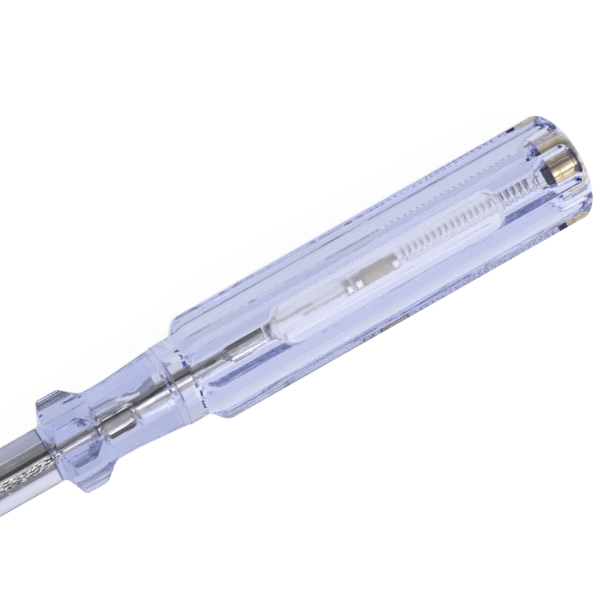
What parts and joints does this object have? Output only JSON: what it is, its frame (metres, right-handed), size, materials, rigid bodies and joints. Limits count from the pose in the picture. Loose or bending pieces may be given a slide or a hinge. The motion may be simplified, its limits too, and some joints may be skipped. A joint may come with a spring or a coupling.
{
  "type": "voltage tester screwdriver",
  "caption": "Slim screwdriver with a clear fluted handle, grooved guard and insulated shank, holding a neon lamp, resistor and spring behind a brass end plug.",
  "frame": {"origin": "centre of the blade's tip face", "axes": "+X along the tool from the blade's tip to the handle's end, +Z out of the flat window pad, +Y across"},
  "size_m": [0.145, 0.0166, 0.0154],
  "materials": {
    "clear_plastic": "clear moulded plastic with a faint violet-blue tint, polished",
    "sleeve_plastic": "clear flexible plastic, faintly violet, slightly hazy",
    "blade_steel": "nickel-plated steel, bright with fine drawn lines",
    "contact_nickel": "thin nickel, satin",
    "lamp_glass": "clear thin glass",
    "resistor_coating": "beige baked coating",
    "spring_steel": "bright drawn wire",
    "brass": "turned brass, bright"
  },
  "bodies": {
    "handle": {"handle_body": "clear_plastic", "blade_rod": "blade_steel", "shank_sleeve": "sleeve_plastic"},
    "lamp_stack": {"neon_glass": "lamp_glass", "neon_front_cap": "contact_nickel", "neon_rear_cap": "contact_nickel", "neon_front_electrode": "contact_nickel", "neon_rear_electrode": "contact_nickel", "resistor_body": "resistor_coating", "resistor_front_cap": "contact_nickel", "resistor_rear_cap": "contact_nickel"},
    "spring": {"contact_spring": "spring_steel"},
    "plug": {"end_plug": "brass"}
  },
  "joints": [
    {"name": "stack_float", "type": "slide", "parent": "handle", "child": "lamp_stack", "axis": [1, 0, 0], "range_m": [0, 0.002], "stiffness_N_per_m": 120, "springref_m": -0.004, "deforming": ["contact_spring"]},
    {"name": "plug_travel", "type": "slide", "parent": "handle", "child": "spring", "axis": [1, 0, 0], "range_m": [0, 0.004], "deforming": ["contact_spring"]},
    {"name": "plug_turn", "type": "hinge", "parent": "spring", "child": "plug", "pos_m": [0.145, 0, 0], "axis": [1, 0, 0], "range_deg": [0, 1440]}
  ],
  "couplings": [
    {"joint": "plug_turn", "follows": "plug_travel", "rad_per_m": 6283}
  ]
}
